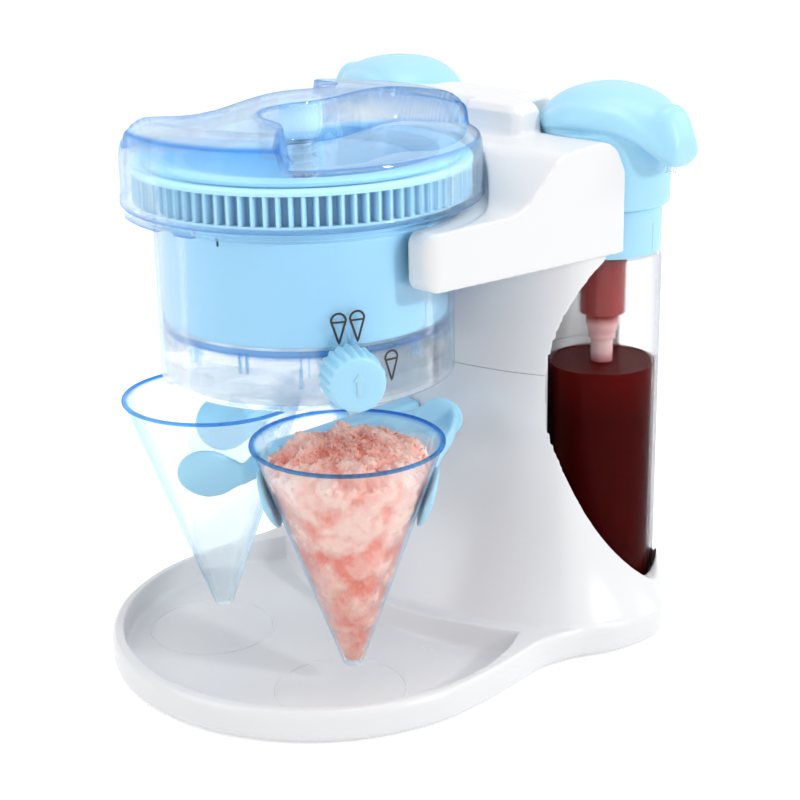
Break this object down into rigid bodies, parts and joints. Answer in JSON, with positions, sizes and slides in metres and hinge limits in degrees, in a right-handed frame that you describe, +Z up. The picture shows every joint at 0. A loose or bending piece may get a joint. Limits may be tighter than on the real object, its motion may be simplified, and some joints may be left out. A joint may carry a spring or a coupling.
{
  "type": "ice shaver",
  "caption": "Hand-turned ice shaver with a clear grip lid, blade drum, serving cones on a round drip tray and pump syrup bottles in the column's sides.",
  "frame": {"origin": "middle of the footprint's bounding box, on the table", "axes": "+Z up, the tray and the cones face -Y, +X is on the right of someone facing the rear of the machine from the front"},
  "size_m": [0.226, 0.2594, 0.262],
  "materials": {
    "white": "glossy moulded",
    "sky": "satin moulded",
    "clear_blue": "clear, faintly blue",
    "clear": "clear",
    "steel": "brushed",
    "rubber": "matt"
  },
  "bodies": {
    "stand": {"base_body": "white", "bottom_cover": "white", "cover_screw_1": "steel", "cover_screw_2": "steel", "cover_screw_3": "steel", "cover_screw_4": "steel", "tie_screw_right": "steel", "tie_screw_left": "steel", "rubber_foot_front_right": "rubber", "rubber_foot_front_left": "rubber", "rubber_foot_rear_right": "rubber", "rubber_foot_rear_left": "rubber", "head_shell": "white", "housing": "clear_blue", "blade_plate": "clear_blue", "spindle_bush": "white", "blade": "steel", "blade_screw_1": "steel", "blade_screw_2": "steel", "chute": "clear_blue", "cone_holder": "sky"},
    "drum": {"drum": "sky", "ribbed_ring": "sky"},
    "lid": {"lid": "clear_blue", "lid_hub": "sky", "spindle": "steel", "stop_ring": "steel", "press_spring": "steel"},
    "pusher": {"pusher": "sky"},
    "selector": {"selector_knob": "sky", "selector_shaft": "sky", "diverter_flap": "clear_blue"},
    "cone_right": {"cone_right": "clear_blue"},
    "cone_left": {"cone_left": "clear_blue"},
    "bottle_right": {"bottle_right": "clear", "collar_right": "sky", "pump_cylinder_right": "clear", "dip_tube_right": "clear", "pump_spring_right": "steel"},
    "pump_right": {"pump_head_right": "sky", "nozzle_right": "clear", "pump_rod_right": "clear", "piston_right": "white"},
    "bottle_left": {"bottle_left": "clear", "collar_left": "sky", "pump_cylinder_left": "clear", "dip_tube_left": "clear", "pump_spring_left": "steel"},
    "pump_left": {"pump_head_left": "sky", "nozzle_left": "clear", "pump_rod_left": "clear", "piston_left": "white"}
  },
  "joints": [
    {"name": "drum_turn", "type": "hinge", "parent": "stand", "child": "drum", "pos_m": [0, -0.03425, 0.2], "axis": [0, 0, 1], "continuous": true},
    {"name": "lid_lift", "type": "slide", "parent": "drum", "child": "lid", "axis": [0, 0, 1], "range_m": [0, 0.06]},
    {"name": "pusher_give", "type": "slide", "parent": "lid", "child": "pusher", "axis": [0, 0, 1], "range_m": [0, 0.018], "stiffness_N_per_m": 250, "springref_m": -0.012, "deforming": ["press_spring"]},
    {"name": "selector_turn", "type": "hinge", "parent": "stand", "child": "selector", "pos_m": [0.06683, -0.0683, 0.1563], "axis": [0.891, -0.454, 0], "range_deg": [-90, 0]},
    {"name": "cone_pull_right", "type": "slide", "parent": "stand", "child": "cone_right", "axis": [0.7035, -0.7035, 0.1005], "range_m": [0, 0.12]},
    {"name": "cone_pull_left", "type": "slide", "parent": "stand", "child": "cone_left", "axis": [-0.7035, -0.7035, 0.1005], "range_m": [0, 0.12]},
    {"name": "bottle_lift_right", "type": "slide", "parent": "stand", "child": "bottle_right", "axis": [0, 0, 1], "range_m": [0, 0.17]},
    {"name": "pump_press_right", "type": "slide", "parent": "bottle_right", "child": "pump_right", "axis": [0, 0, -1], "range_m": [0, 0.008], "stiffness_N_per_m": 300, "springref_m": -0.012, "deforming": ["pump_spring_right"]},
    {"name": "bottle_lift_left", "type": "slide", "parent": "stand", "child": "bottle_left", "axis": [0, 0, 1], "range_m": [0, 0.17]},
    {"name": "pump_press_left", "type": "slide", "parent": "bottle_left", "child": "pump_left", "axis": [0, 0, -1], "range_m": [0, 0.008], "stiffness_N_per_m": 300, "springref_m": -0.012, "deforming": ["pump_spring_left"]}
  ]
}
